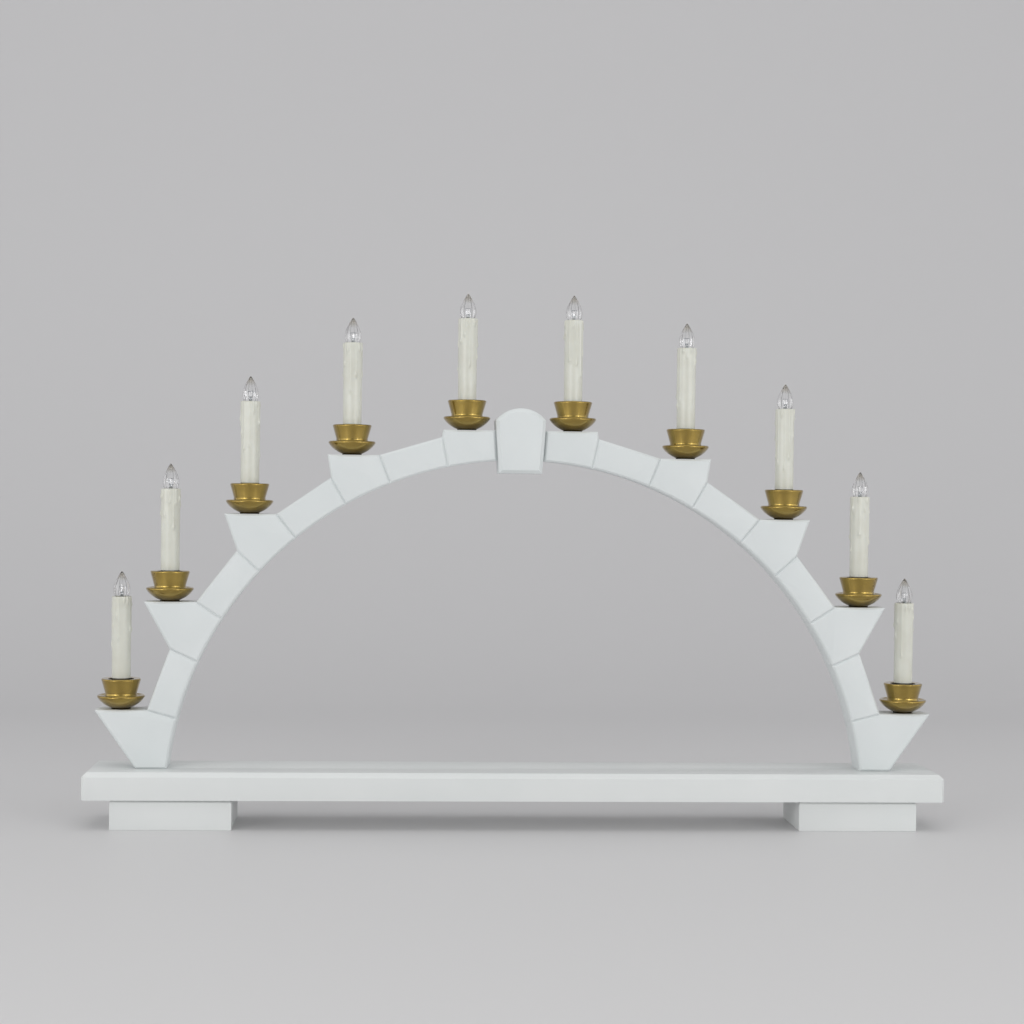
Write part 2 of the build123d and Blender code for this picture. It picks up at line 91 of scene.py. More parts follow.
def white_lacquer(name, grain_size, thin, thick):
    """White satin lacquer on wood: soft gloss, the grain just telegraphing through, slightly uneven coat."""
    material, tree = start_material(name)
    place = add(tree, "ShaderNodeTexCoord").outputs["Object"]
    stretch = [1 / size for size in grain_size]
    along = add(tree, "ShaderNodeMapping", {"Vector": place, "Scale": stretch})
    grain = add(tree, "ShaderNodeTexNoise", {"Vector": along.outputs["Vector"], "Scale": 1.0, "Detail": 4.0})
    peel = add(tree, "ShaderNodeTexNoise", {"Vector": place, "Scale": 1 / PEEL_SIZE, "Detail": 1.0})
    coat = add(tree, "ShaderNodeTexNoise", {"Vector": place, "Scale": 1 / COAT_PATCH, "Detail": 3.0})
    white = add(tree, "ShaderNodeValToRGB", {"Fac": coat.outputs["Fac"]})
    white.color_ramp.elements[0].position = 0.3
    white.color_ramp.elements[0].color = linear(thin)
    white.color_ramp.elements[1].position = 0.7
    white.color_ramp.elements[1].color = linear(thick)
    gloss = add(tree, "ShaderNodeMapRange", {"Value": grain.outputs["Fac"], "To Min": 0.34, "To Max": 0.46})
    relief = add(tree, "ShaderNodeMath", {0: grain.outputs["Fac"], 1: GRAIN_SHARE, 2: peel.outputs["Fac"]},
                 operation="MULTIPLY_ADD")
    bump = add(tree, "ShaderNodeBump", {
        "Height": relief.outputs["Value"], "Strength": 0.22, "Distance": PEEL_DEPTH})
    shader = add(tree, "ShaderNodeBsdfPrincipled", {
        "Base Color": white.outputs["Color"], "Roughness": gloss.outputs["Result"], "IOR": 1.5,
        "Normal": bump.outputs["Normal"]})
    add(tree, "ShaderNodeOutputMaterial", {"Surface": shader.outputs["BSDF"]})
    return material


def lacquered(node, material):
    """Puts a merged copy of a wooden CAD piece, with lacquer-rounded edges, in the piece's place."""
    mesh = cad_nodes[node].data.copy()
    shape = bmesh.new()
    shape.from_mesh(mesh)
    bmesh.ops.remove_doubles(shape, verts=shape.verts, dist=WELD)
    bmesh.ops.dissolve_limit(shape, angle_limit=FLAT, verts=shape.verts, edges=shape.edges)
    shape.to_mesh(mesh)
    shape.free()
    mesh.materials.clear()
    mesh.materials.append(material)
    mesh.shade_smooth()
    piece = bpy.data.objects.new(node + "_lacquered", mesh)
    bpy.context.scene.collection.objects.link(piece)
    rounding = piece.modifiers.new("lacquer_edge", "BEVEL")
    rounding.width = LACQUER_EDGE
    rounding.segments = 2
    rounding.limit_method = "ANGLE"
    rounding.angle_limit = LACQUER_EDGE_FROM
    rounding.harden_normals = True
    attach(piece, "arch")
    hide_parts(node)


# The boards' long grain runs along the plank, and shows only as slight waves and changes of gloss.
BOARD_GRAIN = (GRAIN_LENGTH, GRAIN_WIDTH, GRAIN_WIDTH)
board_lacquer = white_lacquer("white_lacquered_board", BOARD_GRAIN, BOARD_THIN_COAT, BOARD_THICK_COAT)
for node in ("foot_left", "foot_right", "base_plank"):
    lacquered(node, board_lacquer)

# Arch stones. Solid beech wedges, sawn to the ring, chamfered front and rear so that every joint is a
# fine V, doweled and glued into one arch; every second one grows a level shelf for a candle.
CANDLES = 10
LINKS = 8
STONE_GRAIN = (9 * MM, 30 * MM, 9 * MM)
STONE_THIN_COAT = "d6dbdb"
STONE_THICK_COAT = "dbdfdf"

# The same lacquer on wood whose fibres run from front to rear, so that the fronts look smooth and cool white.
stone_lacquer = white_lacquer("white_lacquered_stone", STONE_GRAIN, STONE_THIN_COAT, STONE_THICK_COAT)
for number in range(1, CANDLES + 1):
    lacquered(f"candle_block_{number:02d}", stone_lacquer)
for number in range(1, LINKS + 1):
    lacquered(f"arch_link_{number:02d}", stone_lacquer)

# Keystone. One thicker beech wedge with a rounded head, lacquered with the stones and glued in last.
# It stands proud of the ring at front and rear and has the widest chamfers.
lacquered("keystone", stone_lacquer)

# Dowels. Beech pins glued across the joints, hidden once the arch is closed.
# They are cut from turned rod and left bare.
BEECH_FLECK = 0.9 * MM
FIBRE_DEPTH = 0.1 * MM

# Bare beech is a matt pale brown with fine darker flecks.
material, tree = start_material("bare_beech")
place = add(tree, "ShaderNodeTexCoord").outputs["Object"]
flecks = add(tree, "ShaderNodeTexNoise", {"Vector": place, "Scale": 1 / BEECH_FLECK, "Detail": 3.0})
brown = add(tree, "ShaderNodeValToRGB", {"Fac": flecks.outputs["Fac"]})
brown.color_ramp.elements[0].color = linear("b68d5f")
brown.color_ramp.elements[1].color = linear("dcbc91")
fibre = add(tree, "ShaderNodeBump", {
    "Height": flecks.outputs["Fac"], "Strength": 0.3, "Distance": FIBRE_DEPTH})
shader = add(tree, "ShaderNodeBsdfPrincipled", {
    "Base Color": brown.outputs["Color"], "Roughness": 0.65, "Normal": fibre.outputs["Normal"]})
add(tree, "ShaderNodeOutputMaterial", {"Surface": shader.outputs["BSDF"]})
cad_nodes["joint_dowels"].data.materials.clear()
cad_nodes["joint_dowels"].data.materials.append(material)

# Wood screws. Countersunk steel screws, cold headed with a cross recess and zinc plated. Two go up
# through the plank into each lowest stone, and two hold each foot, sunk in counterbores.
SCREW_STEPS = 32
SCREW_LENGTH = 30 * MM
SCREW_HEAD = 4.0 * MM
SCREW_HEAD_HEIGHT = 2.6 * MM
SCREW_CORE = 1.45 * MM
SCREW_CREST = 1.95 * MM
SCREW_PITCH = 1.8 * MM
SCREW_POINT = 4.0 * MM
SCREW_THREAD_START = SCREW_LENGTH * 0.35
RIB_FOOT = SCREW_CORE * 0.98          # just inside the shank
RIB_FLANK = SCREW_PITCH * 0.25
RIB_STEPS = 20                        # to one turn of the thread
RECESS_ARM = 2.1 * MM
RECESS_WIDTH = 0.95 * MM
RECESS_DEPTH = 1.3 * MM
RECESS_TAPER = 0.7
FACING_DOWN = -0.99                   # normals below this belong to the head's flat face
ZINC_BLOOM = 1.5 * MM
FOOT_SCREW_REACH = 18 * MM
FOOT_SCREW_SINK = 6 * MM
ARCH_SCREW_REACH = 6 * MM
ARCH_SCREW_Y = -7.5 * MM


def spun(shape, points, steps):
    """Turns a line of points (radius, height) once round Z and closes it, as a lathe would."""
    corners = [shape.verts.new((radius, 0, height)) for radius, height in points]
    lines = [shape.edges.new(pair) for pair in zip(corners, corners[1:])]
    bmesh.ops.spin(shape, geom=corners + lines, cent=(0, 0, 0), axis=(0, 0, 1), dvec=(0, 0, 0),
                   angle=math.tau, steps=steps, use_merge=True)
    bmesh.ops.remove_doubles(shape, verts=shape.verts, dist=0.001 * MM)
    bmesh.ops.recalc_face_normals(shape, faces=shape.faces)


def finished(name, shape, material, sharp_degrees):
    """A smooth-shaded piece from a mesh in work, with edges above an angle kept sharp."""
    mesh = bpy.data.meshes.new(name)
    shape.to_mesh(mesh)
    shape.free()
    mesh.shade_smooth()
    mesh.set_sharp_from_angle(angle=math.radians(sharp_degrees))
    mesh.materials.append(material)
    piece = bpy.data.objects.new(name, mesh)
    bpy.context.scene.collection.objects.link(piece)
    return piece


def repeated(shape, places):
    """One mesh in work that holds the shape at every place."""
    pattern = bpy.data.meshes.new("pattern")
    shape.to_mesh(pattern)
    shape.free()
    whole = bmesh.new()
    for place in places:
        copy = pattern.copy()
        copy.transform(Matrix.Translation(place))
        whole.from_mesh(copy)
        bpy.data.meshes.remove(copy)
    bpy.data.meshes.remove(pattern)
    return whole


screw = bmesh.new()
spun(screw, [(0, 0), (SCREW_HEAD, 0), (SCREW_CORE, SCREW_HEAD_HEIGHT),
             (SCREW_CORE, SCREW_LENGTH - SCREW_POINT), (0, SCREW_LENGTH)], SCREW_STEPS)
for cut in (-RECESS_ARM, -RECESS_WIDTH / 2, RECESS_WIDTH / 2, RECESS_ARM):
    for across in ((1, 0, 0), (0, 1, 0)):
        flat = [face for face in screw.faces if face.normal.z < FACING_DOWN]
        edges = list({edge for face in flat for edge in face.edges})
        corners = list({corner for face in flat for corner in face.verts})
        bmesh.ops.bisect_plane(screw, geom=flat + edges + corners, plane_co=Vector(across) * cut,
                               plane_no=across)
cross = []
for face in screw.faces:
    if face.normal.z < FACING_DOWN:
        middle = face.calc_center_median()
        near, far = sorted((abs(middle.x), abs(middle.y)))
        if near < RECESS_WIDTH / 2 and far < RECESS_ARM:
            cross.append(face)
sunk = bmesh.ops.extrude_face_region(screw, geom=cross)
floor_corners = [item for item in sunk["geom"] if isinstance(item, bmesh.types.BMVert)]
bmesh.ops.translate(screw, verts=floor_corners, vec=(0, 0, RECESS_DEPTH))
bmesh.ops.scale(screw, verts=floor_corners, vec=(RECESS_TAPER, RECESS_TAPER, 1))
bmesh.ops.delete(screw, geom=cross, context="FACES")
turns = int((SCREW_LENGTH - SCREW_POINT - SCREW_THREAD_START) / SCREW_PITCH)
rib_corners = ((RIB_FOOT, -RIB_FLANK), (SCREW_CREST, 0), (RIB_FOOT, RIB_FLANK))
rib = [screw.verts.new((radius, 0, SCREW_THREAD_START + height)) for radius, height in rib_corners]
rib_lines = [screw.edges.new(pair) for pair in zip(rib, rib[1:] + rib[:1])]
bmesh.ops.spin(screw, geom=rib + rib_lines, cent=(0, 0, 0), axis=(0, 0, 1),
               dvec=(0, 0, SCREW_PITCH / RIB_STEPS), angle=math.tau * turns, steps=RIB_STEPS * turns,
               use_merge=False)
bmesh.ops.holes_fill(screw, edges=[edge for edge in screw.edges if edge.is_boundary], sides=0)
bmesh.ops.recalc_face_normals(screw, faces=screw.faces)

# Zinc plate is a bright grey metal with cloudy, duller patches.
material, tree = start_material("zinc_plated_steel")
place = add(tree, "ShaderNodeTexCoord").outputs["Object"]
bloom = add(tree, "ShaderNodeTexNoise", {"Vector": place, "Scale": 1 / ZINC_BLOOM, "Detail": 3.0})
zinc = add(tree, "ShaderNodeValToRGB", {"Fac": bloom.outputs["Fac"]})
zinc.color_ramp.elements[0].color = linear("a9aaa6")
zinc.color_ramp.elements[1].color = linear("cfd0cc")
dull = add(tree, "ShaderNodeMapRange", {"Value": bloom.outputs["Fac"], "To Min": 0.25, "To Max": 0.45})
shader = add(tree, "ShaderNodeBsdfPrincipled", {
    "Base Color": zinc.outputs["Color"], "Metallic": 1.0, "Roughness": dull.outputs["Result"]})
add(tree, "ShaderNodeOutputMaterial", {"Surface": shader.outputs["BSDF"]})

left_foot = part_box("foot_left")
right_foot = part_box("foot_right")
arch_screw_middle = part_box("wood_screws")[1].x - SCREW_HEAD - ARCH_SCREW_REACH
screw_places = []
for low, high in (left_foot, right_foot):
    for y in (-FOOT_SCREW_REACH, FOOT_SCREW_REACH):
        screw_places.append(Vector(((low.x + high.x) / 2, y, FOOT_SCREW_SINK)))
for side in (-1, 1):
    for reach in (-ARCH_SCREW_REACH, ARCH_SCREW_REACH):
        screw_places.append(Vector((side * (arch_screw_middle + reach), ARCH_SCREW_Y, left_foot[1].z)))
screws = finished("zinc_screws", repeated(screw, screw_places), material, 30)
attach(screws, "arch")
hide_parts("wood_screws")

# Drip cups. Pan and candle cup turned from one bar of brass, held down by the candle's spigot. The
# outside is brushed and lacquered old gold; the foot and the inside of the mouth are near-black painted
# shade.
# Cups, candles and bulbs are drawn in millimetres, with points as radius and height above the shelf.
CUP_STEPS = 96
CUP_BORE = 5.1
CUP_FOOT = 7.2
CUP_FOOT_HEIGHT = 0.9
BOWL_START = (7.6, 1.0)
BOWL_PULL = (14.6, 3.8)
BOWL_END = (17.5, 8.7)
PAN_LIP = (16.55, 9.25)
PAN_LIP_RADIUS = 1.1
PAN_INSIDE = (16.09, 10.25)
PAN_PULL = (15.3, 9.85)
GROOVE_START = (14.5, 9.4)
GROOVE_PULL = (11.8, 8.9)
CONE_START = (11.8, 12.1)
CUP_LIP = (13.6, 21.75)
CUP_LIP_RADIUS = 0.95
MOUTH = 9.5
MOUTH_FLOOR = 4
MOUTH_EDGE = (10.2, 22.35)
MOUTH_LIP = (9.8, 22.05)
MOUTH_LIP_RADIUS = 0.3
FOOT_SHADE_HEIGHT = 0.95 * MM                 # below this height the cup is painted near-black, as shade where it stands on the shelf
MOUTH_SHADE_FROM = 1.9 * MM                 # and above this one on walls that face the candle, as shade inside the mouth
FACING_IN = 0.9                       # how squarely a wall has to face the candle
TIP_ABOVE_SHELF = 71.4 * MM
LATHE_RING = 0.5 * MM                 # real tool marks are about 0.15 mm apart, drawn coarser to show
LATHE_DEPTH = 0.05 * MM
GOLD_TARNISH = 9 * MM
# mottle in the near-black painted shade of the cups
CUP_SHADE_MOTTLE = 2 * MM


def bend(start, pull, end, count):
    """Points on the bow from start to end that is drawn towards pull, without its two ends."""
    bow = []
    for step in range(1, count):
        t = step / count
        shares = ((1 - t) ** 2, 2 * t * (1 - t), t * t)
        bow.append(tuple(sum(s * p[i] for s, p in zip(shares, (start, pull, end))) for i in (0, 1)))
    return bow


def round_lip(middle, radius, first, last, count):
    """Points round part of a circle, from one angle to another in degrees."""
    angles = [math.radians(first + (last - first) * step / count) for step in range(count + 1)]
    return [(middle[0] + radius * math.cos(a), middle[1] + radius * math.sin(a)) for a in angles]


def in_mm(points):
    """The points of a line in millimetres, in metres."""
    return [(radius * MM, height * MM) for radius, height in points]


cup_line = [(CUP_BORE, 0), (CUP_FOOT - 0.1, 0), (CUP_FOOT, 0.1), (CUP_FOOT, CUP_FOOT_HEIGHT)]
cup_line += [(BOWL_START[0] - 0.1, CUP_FOOT_HEIGHT + 0.02), BOWL_START]
cup_line += bend(BOWL_START, BOWL_PULL, BOWL_END, 12)
cup_line += round_lip(PAN_LIP, PAN_LIP_RADIUS, -30, 115, 12)
cup_line += bend(PAN_INSIDE, PAN_PULL, GROOVE_START, 4) + [GROOVE_START]
cup_line += bend(GROOVE_START, GROOVE_PULL, CONE_START, 8) + [CONE_START]
cup_line += round_lip(CUP_LIP, CUP_LIP_RADIUS, -16, 96, 10) + [MOUTH_EDGE]
cup_line += round_lip(MOUTH_LIP, MOUTH_LIP_RADIUS, 80, 180, 3)
cup_line += [(MOUTH, MOUTH_FLOOR), (CUP_BORE, MOUTH_FLOOR), (CUP_BORE, 0)]
seats = []
for number in range(1, CANDLES + 1):
    low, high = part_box(f"bulb_tip_{number:02d}")
    seats.append(Vector(((low.x + high.x) / 2, (low.y + high.y) / 2, low.z - TIP_ABOVE_SHELF)))
cup = bmesh.new()
spun(cup, in_mm(cup_line), CUP_STEPS)
# The foot, and the mouth's walls that face the candle, take the second material: near-black painted shade.
for face in cup.faces:
    middle = face.calc_center_median()
    inward = -face.normal.dot(Vector((middle.x, middle.y, 0)).normalized())
    if middle.z < FOOT_SHADE_HEIGHT or (inward > FACING_IN and middle.z > MOUTH_SHADE_FROM):
        face.material_index = 1

# Brushed, lacquered brass mirrors the lights as soft bands, with a clear gloss and faint rings over it.
material, tree = start_material("satin_old_gold")
place = add(tree, "ShaderNodeTexCoord").outputs["Object"]
level = add(tree, "ShaderNodeMapping", {"Vector": place, "Scale": (0.0, 0.0, 1 / LATHE_RING)})
rings = add(tree, "ShaderNodeTexNoise", {"Vector": level.outputs["Vector"], "Scale": 1.0, "Detail": 2.0})
tarnish = add(tree, "ShaderNodeTexNoise", {"Vector": place, "Scale": 1 / GOLD_TARNISH, "Detail": 4.0})
gold = add(tree, "ShaderNodeValToRGB", {"Fac": tarnish.outputs["Fac"]})
gold.color_ramp.elements[0].position = 0.3
gold.color_ramp.elements[0].color = linear("967d34")
gold.color_ramp.elements[1].position = 0.7
gold.color_ramp.elements[1].color = linear("a78d40")
satin = add(tree, "ShaderNodeMapRange", {"Value": rings.outputs["Fac"], "To Min": 0.18, "To Max": 0.27})
marks = add(tree, "ShaderNodeBump", {
    "Height": rings.outputs["Fac"], "Strength": 0.25, "Distance": LATHE_DEPTH})
shader = add(tree, "ShaderNodeBsdfPrincipled", {
    "Base Color": gold.outputs["Color"], "Metallic": 1.0, "Roughness": satin.outputs["Result"],
    "Coat Weight": 0.8, "Coat Roughness": 0.1, "Coat IOR": 1.5, "Normal": marks.outputs["Normal"]})
add(tree, "ShaderNodeOutputMaterial", {"Surface": shader.outputs["BSDF"]})
cups = finished("gold_drip_cups", repeated(cup, seats), material, 40)

# Painted shade: a near-black metal that reads as a dark line round the foot and inside the mouth, where shade
# falls.
material, tree = start_material("painted_shade_dark_brass")
place = add(tree, "ShaderNodeTexCoord").outputs["Object"]
blotches = add(tree, "ShaderNodeTexNoise", {"Vector": place, "Scale": 1 / CUP_SHADE_MOTTLE, "Detail": 3.0})
cup_shade = add(tree, "ShaderNodeValToRGB", {"Fac": blotches.outputs["Fac"]})
cup_shade.color_ramp.elements[0].color = linear("1d1812")
cup_shade.color_ramp.elements[1].color = linear("3a3020")
shader = add(tree, "ShaderNodeBsdfPrincipled", {
    "Base Color": cup_shade.outputs["Color"], "Metallic": 1.0, "Roughness": 0.6})
add(tree, "ShaderNodeOutputMaterial", {"Surface": shader.outputs["BSDF"]})
cups.data.materials.append(material)
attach(cups, "arch")
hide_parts("drip_cups")

# Candle sleeves. Hollow ivory plastic candles, injection moulded with runs of false wax down their
# upper part, pushed with a spigot through the cup into the stone. The foot that stands in the cup is painted
# black, as shade in the cup's mouth.
SLEEVE_STEPS = 120
SLEEVE_RADIUS = 7.0
SLEEVE_BORE = 6.0
SLEEVE_TOP = 84.0
SLEEVE_FOOT = 4.0
SLEEVE_FLOOR = 7.0
SPIGOT_RADIUS = 5.0
SPIGOT_BORE = 3.5
SPIGOT_END = -6.0
SHADE_COLLAR_TOP = 23.1                     # top of the black painted shade, which just shows above the cup's rim
SHADE_COLLAR_OUTSIDE = 6.5                   # the wall inside this radius stays ivory
ROUNDED_TOP = [(6.95, 83.5), (6.75, 83.85), (6.5, 84.0), (6.1, 83.9), (6.0, 83.6)]
RUNS = 15
RUNS_FROM = 30.0                      # below it the candle is plain
RUNS_OUTSIDE = 6.4                    # the wall inside this radius has no runs
RUN_DRIFT = 0.35                      # how far a run strays, as a share of the runs' spacing
RUN_SHORTEST = 4
RUN_SPREAD = 43                       # the longest run beyond the shortest
RUN_FEW_LONG = 1.8                    # above 1, so that long runs are rare
RUN_WIDTH = (0.6, 1.0)
RUN_THICKNESS = (0.5, 0.8)
RUN_END_STEEPNESS = 1.6
RUN_BODY = 0.6
BEAD = 0.9
BEAD_ABOVE_END = 1.6
BEAD_HALF = 1.7
ROW_HEIGHT = 0.9
IVORY_CLOUD = 12 * MM
IVORY_SKIN = 1.2 * MM
SKIN_DEPTH = 0.1 * MM
SHADE_COLLAR_GRAIN = 0.8 * MM
sleeve_random = random.Random(14)
sleeve_line = [(SPIGOT_BORE, SPIGOT_END), (SPIGOT_RADIUS, SPIGOT_END), (SPIGOT_RADIUS, SLEEVE_FOOT)]
sleeve_line += [(SLEEVE_RADIUS, SLEEVE_FOOT), (SLEEVE_RADIUS, SHADE_COLLAR_TOP)]
rows = int((SLEEVE_TOP - RUNS_FROM) / ROW_HEIGHT)
sleeve_line += [(SLEEVE_RADIUS, RUNS_FROM + ROW_HEIGHT * row) for row in range(rows)]
sleeve_line += ROUNDED_TOP
sleeve_line += [(SLEEVE_BORE, SLEEVE_FLOOR), (SPIGOT_BORE, SLEEVE_FLOOR), (SPIGOT_BORE, SPIGOT_END)]
sleeves = bmesh.new()
for seat in seats:
    sleeve = bmesh.new()
    spun(sleeve, in_mm(sleeve_line), SLEEVE_STEPS)
    runs = []
    for run in range(RUNS):
        turn = math.tau * (run + sleeve_random.uniform(-RUN_DRIFT, RUN_DRIFT)) / RUNS
        length = RUN_SHORTEST + RUN_SPREAD * sleeve_random.random() ** RUN_FEW_LONG
        runs.append((turn, length, sleeve_random.uniform(*RUN_WIDTH), sleeve_random.uniform(*RUN_THICKNESS)))
    for corner in sleeve.verts:
        radius = math.hypot(corner.co.x, corner.co.y) / MM
        height = corner.co.z / MM
        if radius < RUNS_OUTSIDE or height < SLEEVE_FOOT + 1:
            continue
        turn = math.atan2(corner.co.y, corner.co.x)
        swell = 0.0
        for middle, length, width, thickness in runs:
            sideways = SLEEVE_RADIUS * math.remainder(turn - middle, math.tau) / width
            end = SLEEVE_TOP - length
            body = 1 / (1 + math.exp(-RUN_END_STEEPNESS * (height - end)))
            bead = math.exp(-((height - end - BEAD_ABOVE_END) / BEAD_HALF) ** 2)
            profile = thickness * (RUN_BODY * body + BEAD * bead)
            swell = max(swell, profile * math.exp(-sideways * sideways))
        corner.co.x *= (radius + swell) / radius
        corner.co.y *= (radius + swell) / radius
    # The foot below the cup's rim takes the second material, black painted shade.
    for face in sleeve.faces:
        middle = face.calc_center_median() / MM
        if middle.z < SHADE_COLLAR_TOP and middle.xy.length > SHADE_COLLAR_OUTSIDE:
            face.material_index = 1
    bmesh.ops.translate(sleeve, verts=sleeve.verts, vec=seat)
    moulded = bpy.data.meshes.new("moulded")
    sleeve.to_mesh(moulded)
    sleeve.free()
    sleeves.from_mesh(moulded)
    bpy.data.meshes.remove(moulded)

# Moulded plastic with a waxy skin: a glossy upright streak, and a little light that soaks in.
material, tree = start_material("moulded_ivory_plastic")
place = add(tree, "ShaderNodeTexCoord").outputs["Object"]
clouding = add(tree, "ShaderNodeTexNoise", {"Vector": place, "Scale": 1 / IVORY_CLOUD, "Detail": 3.0})
ivory = add(tree, "ShaderNodeValToRGB", {"Fac": clouding.outputs["Fac"]})
ivory.color_ramp.elements[0].position = 0.3
ivory.color_ramp.elements[0].color = linear("d0d0c5")
ivory.color_ramp.elements[1].position = 0.7
ivory.color_ramp.elements[1].color = linear("d6d7cd")
skin = add(tree, "ShaderNodeTexNoise", {"Vector": place, "Scale": 1 / IVORY_SKIN, "Detail": 2.0})
waxy = add(tree, "ShaderNodeMapRange", {"Value": skin.outputs["Fac"], "To Min": 0.2, "To Max": 0.3})
soft = add(tree, "ShaderNodeBump", {"Height": skin.outputs["Fac"], "Strength": 0.15, "Distance": SKIN_DEPTH})
shader = add(tree, "ShaderNodeBsdfPrincipled", {
    "Base Color": ivory.outputs["Color"], "Roughness": waxy.outputs["Result"], "IOR": 1.49,
    "Subsurface Weight": 0.15, "Subsurface Radius": (1.0, 0.9, 0.7), "Subsurface Scale": 1.5 * MM,
    "Normal": soft.outputs["Normal"]})
add(tree, "ShaderNodeOutputMaterial", {"Surface": shader.outputs["BSDF"]})
candles = finished("ivory_candles", sleeves, material, 50)

# Painted shade: matt black on the candle's foot, which swallows the light in the cup's mouth so that the
# candle seems to stand in shadow.
material, tree = start_material("painted_shade_black_collar")
place = add(tree, "ShaderNodeTexCoord").outputs["Object"]
matt = add(tree, "ShaderNodeTexNoise", {"Vector": place, "Scale": 1 / SHADE_COLLAR_GRAIN, "Detail": 2.0})
shade_collar = add(tree, "ShaderNodeValToRGB", {"Fac": matt.outputs["Fac"]})
shade_collar.color_ramp.elements[0].color = linear("1a1815")
shade_collar.color_ramp.elements[1].color = linear("2b2824")
shader = add(tree, "ShaderNodeBsdfPrincipled", {"Base Color": shade_collar.outputs["Color"], "Roughness": 0.5})
add(tree, "ShaderNodeOutputMaterial", {"Surface": shader.outputs["BSDF"]})
candles.data.materials.append(material)
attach(candles, "arch")
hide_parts("candle_sleeves")

# Lamp holders. A pressed phenolic body glued into each candle's top, with a rolled brass shell for the
# bulb's thread and a brass leaf under its tip.
PHENOLIC_GRIT = 0.4 * MM
BRASS_STAIN = 2 * MM

# Pressed phenolic is matt cream with a fine grit.
material, tree = start_material("pressed_phenolic")
place = add(tree, "ShaderNodeTexCoord").outputs["Object"]
grit = add(tree, "ShaderNodeTexNoise", {"Vector": place, "Scale": 1 / PHENOLIC_GRIT, "Detail": 2.0})
cream = add(tree, "ShaderNodeValToRGB", {"Fac": grit.outputs["Fac"]})
cream.color_ramp.elements[0].color = linear("cdc8b8")
cream.color_ramp.elements[1].color = linear("dedacb")
shader = add(tree, "ShaderNodeBsdfPrincipled", {"Base Color": cream.outputs["Color"], "Roughness": 0.55})
add(tree, "ShaderNodeOutputMaterial", {"Surface": shader.outputs["BSDF"]})
cad_nodes["lamp_holders"].data.materials.clear()
cad_nodes["lamp_holders"].data.materials.append(material)

# Rolled brass sheet is bright yellow metal with faint stains.
material, tree = start_material("rolled_brass")
place = add(tree, "ShaderNodeTexCoord").outputs["Object"]
stain = add(tree, "ShaderNodeTexNoise", {"Vector": place, "Scale": 1 / BRASS_STAIN, "Detail": 3.0})
brass = add(tree, "ShaderNodeValToRGB", {"Fac": stain.outputs["Fac"]})
brass.color_ramp.elements[0].color = linear("b08d48")
brass.color_ramp.elements[1].color = linear("d6b468")
shader = add(tree, "ShaderNodeBsdfPrincipled", {
    "Base Color": brass.outputs["Color"], "Metallic": 1.0, "Roughness": 0.28})
add(tree, "ShaderNodeOutputMaterial", {"Surface": shader.outputs["BSDF"]})
cad_nodes["lamp_contacts"].data.materials.clear()
cad_nodes["lamp_contacts"].data.materials.append(material)

# Wires. Single white PVC-covered flex from lamp to lamp, laid in the channel at the rear of the arch
# and led up into each candle.
PVC_DRAG = 3 * MM
wire_mesh = cad_nodes["lamp_wires"].data.copy()
wire = bmesh.new()
wire.from_mesh(wire_mesh)
bmesh.ops.remove_doubles(wire, verts=wire.verts, dist=WELD)
bpy.data.meshes.remove(wire_mesh)

# Extruded PVC has a soft even gloss that changes a little along the wire.
material, tree = start_material("extruded_white_pvc")
place = add(tree, "ShaderNodeTexCoord").outputs["Object"]
drag = add(tree, "ShaderNodeTexNoise", {"Vector": place, "Scale": 1 / PVC_DRAG, "Detail": 2.0})
pvc = add(tree, "ShaderNodeValToRGB", {"Fac": drag.outputs["Fac"]})
pvc.color_ramp.elements[0].color = linear("d9d9d4")
pvc.color_ramp.elements[1].color = linear("e6e6e2")
sheen = add(tree, "ShaderNodeMapRange", {"Value": drag.outputs["Fac"], "To Min": 0.3, "To Max": 0.45})
shader = add(tree, "ShaderNodeBsdfPrincipled", {
    "Base Color": pvc.outputs["Color"], "Roughness": sheen.outputs["Result"]})
add(tree, "ShaderNodeOutputMaterial", {"Surface": shader.outputs["BSDF"]})
flex = finished("white_flex", wire, material, 70)
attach(flex, "arch")
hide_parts("lamp_wires")

# Bulb tips. A drop of soft solder on the underside of each cap, which touches the holder's brass leaf
# and leads the current in.
SOLDER_GRAIN = 0.5 * MM

# Cooled solder is a dull, slightly grainy grey metal.
material, tree = start_material("soft_solder")
place = add(tree, "ShaderNodeTexCoord").outputs["Object"]
grains = add(tree, "ShaderNodeTexNoise", {"Vector": place, "Scale": 1 / SOLDER_GRAIN, "Detail": 2.0})
tin = add(tree, "ShaderNodeValToRGB", {"Fac": grains.outputs["Fac"]})
tin.color_ramp.elements[0].color = linear("9d9d9b")
tin.color_ramp.elements[1].color = linear("c4c4c1")
shader = add(tree, "ShaderNodeBsdfPrincipled", {
    "Base Color": tin.outputs["Color"], "Metallic": 1.0, "Roughness": 0.5})
add(tree, "ShaderNodeOutputMaterial", {"Surface": shader.outputs["BSDF"]})
for number in range(1, CANDLES + 1):
    solder = cad_nodes[f"bulb_tip_{number:02d}"]
    solder.data.materials.clear()
    solder.data.materials.append(material)

